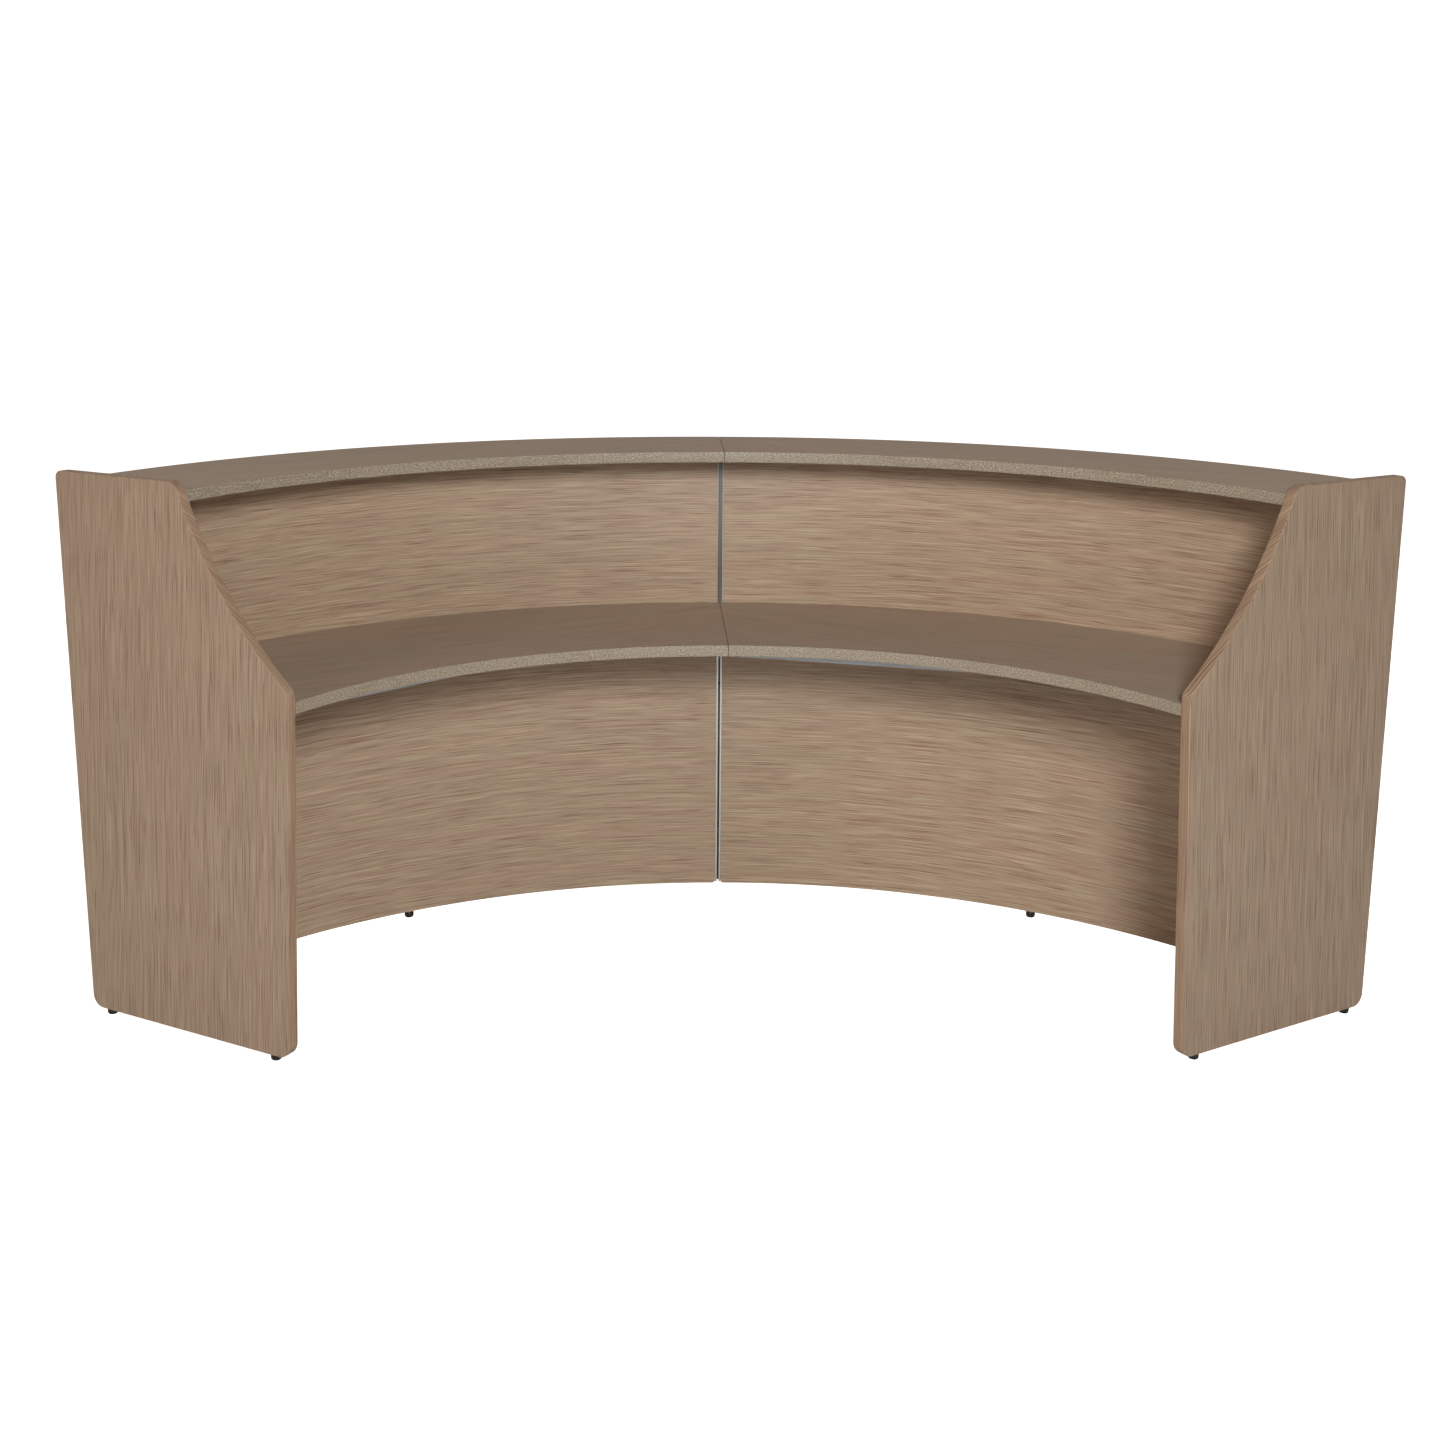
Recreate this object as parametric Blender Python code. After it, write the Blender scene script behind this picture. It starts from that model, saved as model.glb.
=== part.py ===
"""Curved checkout counter made of two 60 degree units. Metres, +Z up, staff side facing -Y.

The origin is on the floor, in the middle of the counter's box. All curved boards share one
upright axis, which stands on the staff side of the counter. In plan, a place is given by its
radius from that axis and by its bearing: degrees from +Y, positive towards +X.
"""

from math import asin, atan2, ceil, cos, degrees, pi, radians, sin, tan

import bmesh
import bpy
from mathutils import Matrix, Vector

# Driving dimensions
BOARD = 0.025           # thickness of every board
BAND = 0.002            # thickness of the edge bands
FIT = 0.0003            # gap between pieces that touch
UNIT_ANGLE = 60.0       # each unit's share of the curve
ARC_STEP = 2.5          # curved boards have a facet every 2.5 degrees

TRANSACTION_TOP = 1.127 # height of the upper surface
TRANSACTION_IN = 1.29   # radius of its staff edge
TRANSACTION_OUT = 1.60  # radius of its customer edge
WORK_TOP = 0.727        # height of the working surface
WORK_IN = 1.01          # radius of its front edge
WALL_IN = 1.485         # radius of the wall's staff face
WALL_OUT = WALL_IN + BOARD
WALL_BOTTOM = 0.016     # height of its lower edge
SEAM = 0.0006           # half the seam between the two units' tops

# End panel outline, in the panel's own plane: radius, height
PANEL_TOP = 1.145
PANEL_BOTTOM = 0.012
PANEL_FOOT_OUT = 1.542  # radius of the customer edge at the floor
PANEL_TOP_OUT = 1.633   # radius of the customer edge at the top
PANEL_TOP_IN = 1.30     # radius of the staff corner at the top
KNEE = 0.747            # height where the straight front ends
HOLLOW_DEPTH = 0.029    # how far the slanted front dips below a straight line
KNEE_ROUND = 0.025
TOP_IN_ROUND = 0.035
TOP_OUT_ROUND = 0.014
FOOT_ROUND = 0.028

# Joint between the units
STRIP_NEAR = 0.00225    # from the joint's middle plane to each steel strip
STRIP_FAR = 0.00675
WALL_START = STRIP_FAR + FIT
STRIP_RAISED = 0.003    # the strips start this far above the walls' lower edge
COVER_WIDTH = 0.011
COVER_THICK = 0.0012
DOWEL_HEIGHTS = (0.16, 0.52, 0.90)
DOWEL_R = 0.004
DOWEL_LENGTH = 0.050
DOWEL_SPARE = 0.002     # the dowels' holes are this much longer

# Levelling feet
PAD_R = 0.011
PAD_HEIGHT = 0.012 - FIT
PAD_CHAMFER = 0.0012
STEM_R = 0.0039
STEM_LENGTH = 0.034
STEM_CHAMFER = 0.001
BORE_SPARE = 0.004      # the bores are this much deeper than the stems reach
INSERT_R = 0.006
INSERT_LENGTH = 0.030
FOOT_RADII = (1.055, 1.50)  # the end panels' feet, along the panel
WALL_FOOT_BEARING = 30.0

# Steel brackets
STEEL = 0.003
BRACKET_BEARINGS = (14.0, 45.0)
BRACKET_WIDTH = 0.030
BRACKET_DROP = 0.090
BRACKET_REACH = 0.270
TOP_BRACKET_WIDTH = 0.040
TOP_BRACKET_DROP = 0.014
TOP_BRACKET_REACH = 0.060
CLEAT = 0.025
WORK_CLEAT_SPAN = (1.12, 1.42)              # radii of the cleats' ends, along the panel
TOP_CLEAT_SPAN = (WALL_OUT + 0.010, 1.585)
CORNER_SPAN = (0.590, 0.670)                # heights of the upright corner bracket's ends
CORNER_FIT = 0.001                          # the corner bracket's gap to the curved wall
PLATE_SPAN = (1.15, 1.43)                   # radii of the worktops' joint plate
PLATE_HALF_WIDTH = 0.040
BAR = 0.025             # square section of the stiffener bar
BAR_WALL = 0.002
BAR_DISTANCE = 1.078    # from the counter's axis to the bar's front face
BAR_BEARING = 15.8      # bearing of the bar's normal in the right unit
BAR_START, BAR_END = 1.5, 29.5

CUT_OUT = 0.010         # cutters stick out of the piece by this much

# The counter's axis stands this far from the origin, so that the box is centred in depth
FRONT_Y = WORK_IN * cos(radians(UNIT_ANGLE)) - BOARD * sin(radians(UNIT_ANGLE))
AXIS_Y = -(FRONT_Y + TRANSACTION_OUT) / 2

# The walls are faceted: each facet's middle stands this much nearer the axis than its ends
FACET_DIP = WALL_IN * (1 - cos(radians(ARC_STEP / 2)))

LAMINATE = ("laminate", (0.36, 0.27, 0.20), 0.45, 0.0)
EDGING = ("edging", (0.34, 0.30, 0.22), 0.50, 0.0)
BRUSHED = ("steel", (0.55, 0.56, 0.56), 0.38, 1.0)
BLACK = ("black_plastic", (0.012, 0.012, 0.013), 0.25, 0.0)


def material(node, look):
    """The node's own material, from a look: kind, linear colour, roughness, metallic."""
    kind, colour, roughness, metallic = look
    made = bpy.data.materials.new(f"{node}_{kind}")
    made.use_nodes = True
    shader = made.node_tree.nodes["Principled BSDF"]
    shader.inputs["Base Color"].default_value = (*colour, 1.0)
    shader.inputs["Roughness"].default_value = roughness
    shader.inputs["Metallic"].default_value = metallic
    made.diffuse_color = (*colour, 1.0)
    return made


def add_object(node, bm, look, origin=(0.0, 0.0, 0.0)):
    """Makes a mesh object of bm, whose points are in world space, with its origin at a point."""
    bmesh.ops.recalc_face_normals(bm, faces=bm.faces)
    bmesh.ops.translate(bm, verts=bm.verts, vec=-Vector(origin))
    mesh = bpy.data.meshes.new(node)
    bm.to_mesh(mesh)
    bm.free()
    mesh.materials.append(material(node, look))
    made = bpy.data.objects.new(node, mesh)
    made.location = origin
    bpy.context.scene.collection.objects.link(made)
    return made


def smooth(made, angle=40.0):
    made.data.shade_smooth()
    made.data.set_sharp_from_angle(angle=radians(angle))


def place(radius, bearing, z):
    """The point at a radius and bearing from the counter's axis."""
    turn = radians(bearing)
    return Vector((radius * sin(turn), AXIS_Y + radius * cos(turn), z))


def face_frame(radius, bearing, z):
    """A frame at a place: its X runs along the curve, its Y points away from the axis."""
    return Matrix.Translation(place(radius, bearing, z)) @ Matrix.Rotation(-radians(bearing), 4, "Z")


def offset_bearing(radius, start_gap, end_gap, bearing):
    """The bearing held back from the unit's two radial end planes by the gaps, in metres."""
    low = degrees(asin(start_gap / radius))
    high = UNIT_ANGLE - degrees(asin(end_gap / radius))
    return min(max(bearing, low), high)


def curved_body(node, side, profile, start_gap, end_gap, look):
    """Sweeps a closed (radius, height) profile along one unit's arc. side is -1 left, +1 right."""
    bm = bmesh.new()
    rings = []
    for step in range(round(UNIT_ANGLE / ARC_STEP) + 1):
        bearing = step * ARC_STEP
        ring = [
            bm.verts.new(place(r, side * offset_bearing(r, start_gap, end_gap, bearing), z))
            for r, z in profile
        ]
        rings.append(ring)
    count = len(profile)
    for ring, following in zip(rings, rings[1:]):
        for i in range(count):
            j = (i + 1) % count
            bm.faces.new((ring[i], ring[j], following[j], following[i]))
    bm.faces.new(rings[0])
    bm.faces.new(rings[-1])
    made = add_object(node, bm, look)
    smooth(made)
    return made


def rectangle(r_in, r_out, z_low, z_high):
    return [(r_in, z_low), (r_out, z_low), (r_out, z_high), (r_in, z_high)]


def fillet(before, corner, after, radius):
    """Points of an arc that rounds a corner between two straight lines."""
    to_before = (before - corner).normalized()
    to_after = (after - corner).normalized()
    half = to_before.angle(to_after) / 2
    middle = corner + (to_before + to_after).normalized() * radius / sin(half)
    start = corner + to_before * radius / (sin(half) / cos(half))
    end = corner + to_after * radius / (sin(half) / cos(half))
    from_angle = atan2(*(start - middle).yx)
    sweep = (atan2(*(end - middle).yx) - from_angle + pi) % (2 * pi) - pi
    steps = max(3, ceil(abs(degrees(sweep)) / 12))
    return [
        middle + radius * Vector((cos(from_angle + sweep * k / steps), sin(from_angle + sweep * k / steps)))
        for k in range(steps + 1)
    ]


def hollow_arc(start, end, depth, steps):
    """Inner points of a circular arc from start to end that dips by depth to the chord's left."""
    chord = end - start
    radius = chord.length ** 2 / (8 * depth) + depth / 2
    right = Vector((chord.y, -chord.x)).normalized()
    middle = (start + end) / 2 + right * (radius - depth)
    first = atan2(*(start - middle).yx)
    sweep = (atan2(*(end - middle).yx) - first + pi) % (2 * pi) - pi
    return [
        middle + radius * Vector((cos(first + sweep * k / steps), sin(first + sweep * k / steps)))
        for k in range(1, steps)
    ]


def panel_outline():
    """The end panel's outline, anticlockwise seen with the radius to the right and +Z up."""
    foot_in = Vector((WORK_IN, PANEL_BOTTOM))
    foot_out = Vector((PANEL_FOOT_OUT, PANEL_BOTTOM))
    top_out = Vector((PANEL_TOP_OUT, PANEL_TOP))
    top_in = Vector((PANEL_TOP_IN, PANEL_TOP))
    knee = Vector((WORK_IN, KNEE))
    slope = hollow_arc(top_in, knee, HOLLOW_DEPTH, 14)[1:-1]
    outline = fillet(knee, foot_in, foot_out, FOOT_ROUND)
    outline += fillet(foot_in, foot_out, top_out, FOOT_ROUND)
    outline += fillet(foot_out, top_out, top_in, TOP_OUT_ROUND)
    outline += fillet(top_out, top_in, slope[0], TOP_IN_ROUND)
    outline += slope
    outline += fillet(slope[-1], knee, foot_in, KNEE_ROUND)
    return outline


def inset(outline, distance):
    """The anticlockwise outline moved inwards by a distance."""
    moved = []
    for i, point in enumerate(outline):
        arriving = (point - outline[i - 1]).normalized()
        leaving = (outline[(i + 1) % len(outline)] - point).normalized()
        inward = Vector((-arriving.y - leaving.y, arriving.x + leaving.x)).normalized()
        moved.append(point + inward * distance / (inward.dot(Vector((-arriving.y, arriving.x)))))
    return moved


def panel_point(side, radius, z, out):
    """A point of an end panel: out is the distance outwards from the panel's inner face."""
    at = place(radius, side * UNIT_ANGLE, z)
    turn = side * radians(UNIT_ANGLE)
    return at + Vector((cos(turn), -sin(turn), 0.0)) * out * side


def plate(node, side, outline, look):
    """A board in the end panel's plane with this outline."""
    bm = bmesh.new()
    layers = [[bm.verts.new(panel_point(side, p.x, p.y, out)) for p in outline] for out in (0.0, BOARD)]
    count = len(outline)
    for layer in layers:
        bm.faces.new(layer)
    for i in range(count):
        j = (i + 1) % count
        bm.faces.new((layers[0][i], layers[0][j], layers[1][j], layers[1][i]))
    return add_object(node, bm, look)


def hoop(node, side, outer, inner, look):
    """A band between two outlines that have the same number of points, as wide as the board."""
    bm = bmesh.new()
    loops = [
        [bm.verts.new(panel_point(side, p.x, p.y, out)) for p in outline]
        for outline, out in ((outer, 0.0), (inner, 0.0), (inner, BOARD), (outer, BOARD))
    ]
    count = len(outer)
    for ring, following in zip(loops, loops[1:] + loops[:1]):
        for i in range(count):
            j = (i + 1) % count
            bm.faces.new((ring[i], ring[j], following[j], following[i]))
    return add_object(node, bm, look)


def block(node, frame, low, high, look, origin=(0.0, 0.0, 0.0)):
    """A box between two corners given in a frame."""
    bm = bmesh.new()
    middle = Matrix.Translation((Vector(low) + Vector(high)) / 2)
    size = Matrix.Diagonal((*(Vector(high) - Vector(low)), 1.0))
    bmesh.ops.create_cube(bm, size=1.0, matrix=frame @ middle @ size)
    return add_object(node, bm, look, origin)


def extruded(node, frame, outline, low, high, look):
    """An outline in the frame's YZ plane, extruded along the frame's X from low to high."""
    bm = bmesh.new()
    base = bm.faces.new([bm.verts.new(frame @ Vector((low, y, z))) for y, z in outline])
    grown = bmesh.ops.extrude_face_region(bm, geom=[base])
    moved = [item for item in grown["geom"] if isinstance(item, bmesh.types.BMVert)]
    along = frame.to_3x3() @ Vector((high - low, 0.0, 0.0))
    bmesh.ops.translate(bm, verts=moved, vec=along)
    return add_object(node, bm, look)


def turned(node, foot, profile, look, sides=24):
    """A round solid on an upright axis through foot, from a (radius, height) profile."""
    bm = bmesh.new()
    rings = []
    for r, z in profile:
        if r == 0.0:
            rings.append([bm.verts.new((foot.x, foot.y, z))])
            continue
        turns = [2 * pi * k / sides for k in range(sides)]
        rings.append([bm.verts.new((foot.x + r * cos(t), foot.y + r * sin(t), z)) for t in turns])
    pairs = list(zip(rings, rings[1:]))
    if len(rings[0]) > 1:
        pairs.append((rings[-1], rings[0]))
    for ring, following in pairs:
        for k in range(sides):
            corners = [ring[k % len(ring)], ring[(k + 1) % len(ring)]]
            corners += [following[(k + 1) % len(following)], following[k % len(following)]]
            bm.faces.new(list(dict.fromkeys(corners)))
    made = add_object(node, bm, look, origin=(foot.x, foot.y, 0.0))
    smooth(made)
    return made


def cut(made, cutter):
    """Cuts one helper body out of an object and hides the helper."""
    cutter.hide_render = True
    cutter.display_type = "WIRE"
    boolean = made.modifiers.new("hole", "BOOLEAN")
    boolean.operation = "DIFFERENCE"
    boolean.solver = "EXACT"
    boolean.object = cutter


def foot_bore(board, foot, depth_top):
    """The blind hole in a board's lower edge for a foot's insert and stem."""
    bore = INSERT_R + FIT
    profile = [(0.0, -CUT_OUT), (bore, -CUT_OUT), (bore, depth_top), (0.0, depth_top)]
    cutter = turned(f"{board.name}_bore_{round(foot.x * 1000)}", foot, profile, BLACK)
    cut(board, cutter)


def levelling_foot(label, foot):
    """Pad, threaded stem and insert. The pad rests against the insert's lower end when screwed in."""
    narrow = PAD_R - PAD_CHAMFER
    turned(f"foot_pad_{label}", foot,
           [(0.0, 0.0), (narrow, 0.0), (PAD_R, PAD_CHAMFER), (PAD_R, PAD_HEIGHT - PAD_CHAMFER),
            (narrow, PAD_HEIGHT), (0.0, PAD_HEIGHT)], BLACK)
    low = PAD_HEIGHT + FIT
    stem_high = low + STEM_LENGTH
    turned(f"foot_stem_{label}", foot,
           [(0.0, low), (STEM_R, low), (STEM_R, stem_high - STEM_CHAMFER),
            (STEM_R - STEM_CHAMFER, stem_high), (0.0, stem_high)], BRUSHED, 16)
    turned(f"foot_insert_{label}", foot,
           rectangle(STEM_R + FIT, INSERT_R, low, low + INSERT_LENGTH), BRUSHED, 16)


def end_panel(side, word):
    outline = panel_outline()
    core = plate(f"end_panel_{word}", side, inset(outline, BAND + FIT), LAMINATE)
    band = hoop(f"end_panel_edge_{word}", side, outline, inset(outline, BAND), EDGING)
    for spot, radius in zip(("front", "back"), FOOT_RADII):
        foot = panel_point(side, radius, 0.0, BOARD / 2)
        foot_bore(core, foot, PANEL_BOTTOM + STEM_LENGTH + BORE_SPARE)
        foot_bore(band, foot, PANEL_BOTTOM + BAND + BORE_SPARE)
        levelling_foot(f"{word}_{spot}", foot)


def wall(side, word):
    top = TRANSACTION_TOP - BOARD - FIT
    profile = rectangle(WALL_IN, WALL_OUT, WALL_BOTTOM, top)
    board = curved_body(f"wall_{word}", side, profile, WALL_START, FIT, LAMINATE)
    foot = place((WALL_IN + WALL_OUT) / 2, side * WALL_FOOT_BEARING, 0.0)
    foot_bore(board, foot, WALL_BOTTOM + STEM_LENGTH + BORE_SPARE)
    levelling_foot(f"{word}_wall", foot)
    return board


def worktop(side, word):
    low, high = WORK_TOP - BOARD, WORK_TOP
    curved_body(f"worktop_{word}", side, rectangle(WORK_IN + BAND + FIT, WALL_IN - FIT, low, high),
                SEAM, FIT, LAMINATE)
    curved_body(f"worktop_edge_{word}", side, rectangle(WORK_IN, WORK_IN + BAND, low, high),
                SEAM, FIT, EDGING)


def transaction_top(side, word):
    low, high = TRANSACTION_TOP - BOARD, TRANSACTION_TOP
    core = rectangle(TRANSACTION_IN + BAND + FIT, TRANSACTION_OUT - BAND - FIT, low, high)
    curved_body(f"transaction_top_{word}", side, core, SEAM, FIT, LAMINATE)
    staff = rectangle(TRANSACTION_IN, TRANSACTION_IN + BAND, low, high)
    curved_body(f"transaction_edge_staff_{word}", side, staff, SEAM, FIT, EDGING)
    customer = rectangle(TRANSACTION_OUT - BAND, TRANSACTION_OUT, low, high)
    curved_body(f"transaction_edge_customer_{word}", side, customer, SEAM, FIT, EDGING)


def joint(walls):
    """Steel strips on the walls' ends, covers over the slot between them, and dowels across it."""
    middle = Matrix.Translation((0.0, AXIS_Y, 0.0))
    z_high = TRANSACTION_TOP - BOARD - FIT
    strips = []
    for side, word in ((-1, "left"), (1, "right")):
        near, far = sorted((side * STRIP_NEAR, side * STRIP_FAR))
        strips.append(block(f"joint_strip_{word}", middle, (near, WALL_IN, WALL_BOTTOM + STRIP_RAISED),
                            (far, WALL_OUT, z_high), BRUSHED))
    half = COVER_WIDTH / 2
    block("joint_cover", middle, (-half, WALL_IN - FIT - COVER_THICK, WORK_TOP + FIT),
          (half, WALL_IN - FIT, z_high), BRUSHED)
    block("joint_back_cover", middle, (-half, WALL_OUT + FIT, WALL_BOTTOM),
          (half, WALL_OUT + FIT + COVER_THICK, z_high), BRUSHED)
    for number, z in enumerate(DOWEL_HEIGHTS, 1):
        dowel(number, middle @ Matrix.Translation((0.0, (WALL_IN + WALL_OUT) / 2, z)), walls + strips)


def dowel(number, at, pieces):
    """A steel pin across the joint, and its hole in each of the pieces."""
    across = at @ Matrix.Rotation(pi / 2, 4, "Y")
    pin = bmesh.new()
    bmesh.ops.create_cone(pin, cap_ends=True, segments=16, radius1=DOWEL_R, radius2=DOWEL_R,
                          depth=DOWEL_LENGTH, matrix=across)
    smooth(add_object(f"joint_dowel_{number}", pin, BRUSHED))
    for piece in pieces:
        drill = bmesh.new()
        bmesh.ops.create_cone(drill, cap_ends=True, segments=16, radius1=DOWEL_R + FIT,
                              radius2=DOWEL_R + FIT, depth=DOWEL_LENGTH + DOWEL_SPARE, matrix=across)
        cut(piece, add_object(f"{piece.name}_drill_{number}", drill, BRUSHED))


def angle_outline(depth, drop, thick):
    """An L section in YZ: a level leg along +Y and a leg that hangs down, corner at the origin."""
    return [(0.0, 0.0), (0.0, -drop), (thick, -drop), (thick, -thick), (depth, -thick), (depth, 0.0)]


def brackets(side, word):
    """Steel angles under the worktop and under the transaction top, all hidden by the boards."""
    work_low = WORK_TOP - BOARD - FIT
    top_low = TRANSACTION_TOP - BOARD - FIT
    hang = [(-y, z) for y, z in angle_outline(BRACKET_REACH, BRACKET_DROP, STEEL)]
    small = [(-y, z) for y, z in angle_outline(TOP_BRACKET_REACH, TOP_BRACKET_DROP, STEEL)]
    radius = WALL_IN - FACET_DIP - 2 * FIT
    for number, bearing in enumerate(BRACKET_BEARINGS, 1):
        half = BRACKET_WIDTH / 2
        frame = face_frame(radius, side * bearing, work_low)
        extruded(f"worktop_bracket_{word}_{number}", frame, hang, -half, half, BRUSHED)
        half = TOP_BRACKET_WIDTH / 2
        frame = face_frame(radius, side * bearing, top_low)
        extruded(f"top_bracket_{word}_{number}", frame, small, -half, half, BRUSHED)


def panel_frame(side):
    """A frame on the counter's axis: its Y runs outwards along the end panel's inner face."""
    return Matrix.Translation((0.0, AXIS_Y, 0.0)) @ Matrix.Rotation(-side * radians(UNIT_ANGLE), 4, "Z")


def end_cleats(side, word):
    """Steel angles between each end panel and the boards that meet it."""
    work_low = WORK_TOP - BOARD - FIT
    top_low = TRANSACTION_TOP - BOARD - FIT
    turned_in = panel_frame(side) @ Matrix.Rotation(side * pi / 2, 4, "Z")
    section = [(y + FIT, z) for y, z in angle_outline(CLEAT, CLEAT, STEEL)]
    runs = (("worktop_cleat", work_low, WORK_CLEAT_SPAN), ("top_cleat", top_low, TOP_CLEAT_SPAN))
    for name, z, span in runs:
        frame = turned_in @ Matrix.Translation((0.0, 0.0, z))
        low, high = sorted(side * end for end in span)
        extruded(f"{name}_{word}", frame, section, low, high, BRUSHED)


def corner_bracket(side, word):
    """An upright angle in the corner of wall and end panel, under the worktop."""
    z_low, z_high = CORNER_SPAN
    bm = bmesh.new()
    y_back = WALL_IN - FACET_DIP - CORNER_FIT
    outline = [(0.0, 0.0), (-CLEAT, 0.0), (-CLEAT, -STEEL), (-STEEL, -STEEL), (-STEEL, -CLEAT),
               (0.0, -CLEAT)]
    points = [Vector((side * (x - FIT), y_back + y, z_low)) for x, y in outline]
    base = bm.faces.new([bm.verts.new(panel_frame(side) @ point) for point in points])
    grown = bmesh.ops.extrude_face_region(bm, geom=[base])
    moved = [item for item in grown["geom"] if isinstance(item, bmesh.types.BMVert)]
    bmesh.ops.translate(bm, verts=moved, vec=(0.0, 0.0, z_high - z_low))
    add_object(f"corner_bracket_{word}", bm, BRUSHED)


def stiffener(side, word):
    """A straight square steel tube under the worktop. The left unit's is the right one's copy,
    turned by the unit's angle about the counter's axis, because both units are built alike."""
    turn = BAR_BEARING if side > 0 else BAR_BEARING - UNIT_ANGLE
    under = Matrix.Translation((0.0, AXIS_Y, WORK_TOP - BOARD - FIT))
    frame = under @ Matrix.Rotation(-radians(turn), 4, "Z")
    start = BAR_DISTANCE * tan(radians(BAR_START - BAR_BEARING))
    end = BAR_DISTANCE * tan(radians(BAR_END - BAR_BEARING))
    bar = block(f"stiffener_{word}", frame, (start, BAR_DISTANCE, -BAR),
                (end, BAR_DISTANCE + BAR, 0.0), BRUSHED)
    hollow = block(f"stiffener_hollow_{word}", frame,
                   (start - CUT_OUT, BAR_DISTANCE + BAR_WALL, -BAR + BAR_WALL),
                   (end + CUT_OUT, BAR_DISTANCE + BAR - BAR_WALL, -BAR_WALL), BRUSHED)
    cut(bar, hollow)


def worktop_plate():
    """The flat plate that joins the two worktops from below."""
    middle = Matrix.Translation((0.0, AXIS_Y, WORK_TOP - BOARD - FIT))
    near, far = PLATE_SPAN
    block("worktop_joint_plate", middle, (-PLATE_HALF_WIDTH, near, -STEEL),
          (PLATE_HALF_WIDTH, far, 0.0), BRUSHED)


def build():
    for old in list(bpy.data.objects):
        bpy.data.objects.remove(old)
    walls = []
    for side, word in ((-1, "left"), (1, "right")):
        end_panel(side, word)
        walls.append(wall(side, word))
        worktop(side, word)
        transaction_top(side, word)
        brackets(side, word)
        end_cleats(side, word)
        corner_bracket(side, word)
        stiffener(side, word)
    joint(walls)
    worktop_plate()


build()
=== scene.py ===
"""Looks of the curved checkout counter: laminated boards, edge bands, steel joint and glides.

Metres, +Z up, staff side facing -Y. All curved boards share one upright axis on the staff side.
A place in plan is a radius from that axis and a bearing: degrees from +Y, positive towards +X.
"""

from math import atan2, ceil, cos, degrees, hypot, pi, radians, sin, tan

import bmesh
import bpy
from mathutils import Matrix, Vector


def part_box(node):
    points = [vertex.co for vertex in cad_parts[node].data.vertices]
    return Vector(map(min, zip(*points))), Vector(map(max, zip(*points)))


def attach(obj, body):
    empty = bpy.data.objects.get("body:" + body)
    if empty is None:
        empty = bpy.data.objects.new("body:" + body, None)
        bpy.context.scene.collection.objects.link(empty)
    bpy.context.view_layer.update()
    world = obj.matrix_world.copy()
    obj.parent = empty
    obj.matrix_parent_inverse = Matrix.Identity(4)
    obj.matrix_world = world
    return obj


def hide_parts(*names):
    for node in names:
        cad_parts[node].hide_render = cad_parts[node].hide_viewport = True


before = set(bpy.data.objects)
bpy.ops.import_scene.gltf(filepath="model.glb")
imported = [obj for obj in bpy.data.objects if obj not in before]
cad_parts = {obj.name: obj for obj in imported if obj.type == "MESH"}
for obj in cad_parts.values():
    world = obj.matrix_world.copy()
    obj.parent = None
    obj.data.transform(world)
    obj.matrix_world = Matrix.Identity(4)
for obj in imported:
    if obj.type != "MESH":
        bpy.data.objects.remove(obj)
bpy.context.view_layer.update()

# Plan of the counter, as it was designed
UNIT_ANGLE = 60.0
BOARD = 0.025
BAND = 0.002            # edge bands
BAND_ARRIS = 0.0009     # how far a band's long edges are rounded
WALL_ARRIS = 0.0008     # and the walls' lower edges
HAIRLINE = 0.00004      # glue line between a band and its board
WORK_IN = 1.01
WALL_IN = 1.485
TRANSACTION_IN = 1.29
TRANSACTION_OUT = 1.60
SEAM = 0.0006           # half the seam between the units' tops
WALL_START = 0.00705    # the walls stop here, behind the joint's steel strips
FIT = 0.0003
BORE_SPARE = 0.004      # the feet's holes are this much higher than their rods reach

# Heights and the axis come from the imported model
AXIS_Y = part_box("transaction_edge_customer_right")[1].y - TRANSACTION_OUT
WORK_LOW, WORK_TOP = (corner.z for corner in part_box("worktop_right"))
TOP_LOW, TOP_HIGH = (corner.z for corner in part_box("transaction_top_right"))
WALL_LOW, WALL_HIGH = (corner.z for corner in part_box("wall_right"))
PANEL_LOW, PANEL_HIGH = (corner.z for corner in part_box("end_panel_edge_right"))

SIDES = ((-1, "left"), (1, "right"))
AXIS = Vector((0.0, AXIS_Y, 0.0))


# ---------------------------------------------------------------- materials

def linear(code):
    """A linear colour from an sRGB hex value."""
    channels = [int(code[i:i + 2], 16) / 255 for i in (1, 3, 5)]
    return tuple(c / 12.92 if c <= 0.04045 else ((c + 0.055) / 1.055) ** 2.4 for c in channels) + (1.0,)


def add(tree, kind, inputs=None, stops=None, **settings):
    """Adds a node with its settings, input values and links. stops are a colour ramp's (place, hex)."""
    made = tree.nodes.new(kind)
    for name, value in settings.items():
        setattr(made, name, value)
    for key, value in (inputs or {}).items():
        if isinstance(value, bpy.types.NodeSocket):
            tree.links.new(value, made.inputs[key])
        else:
            made.inputs[key].default_value = value
    if stops:
        elements = made.color_ramp.elements
        while len(elements) < len(stops):
            elements.new(0.5)
        for element, (place_on, code) in zip(elements, stops):
            element.position = place_on
            element.color = linear(code)
    return made


def new_material(name):
    """An empty node material with its shader, ready to be linked up."""
    made = bpy.data.materials.new(name)
    made.use_nodes = True
    tree = made.node_tree
    shader = tree.nodes["Principled BSDF"]
    return made, tree, shader


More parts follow.
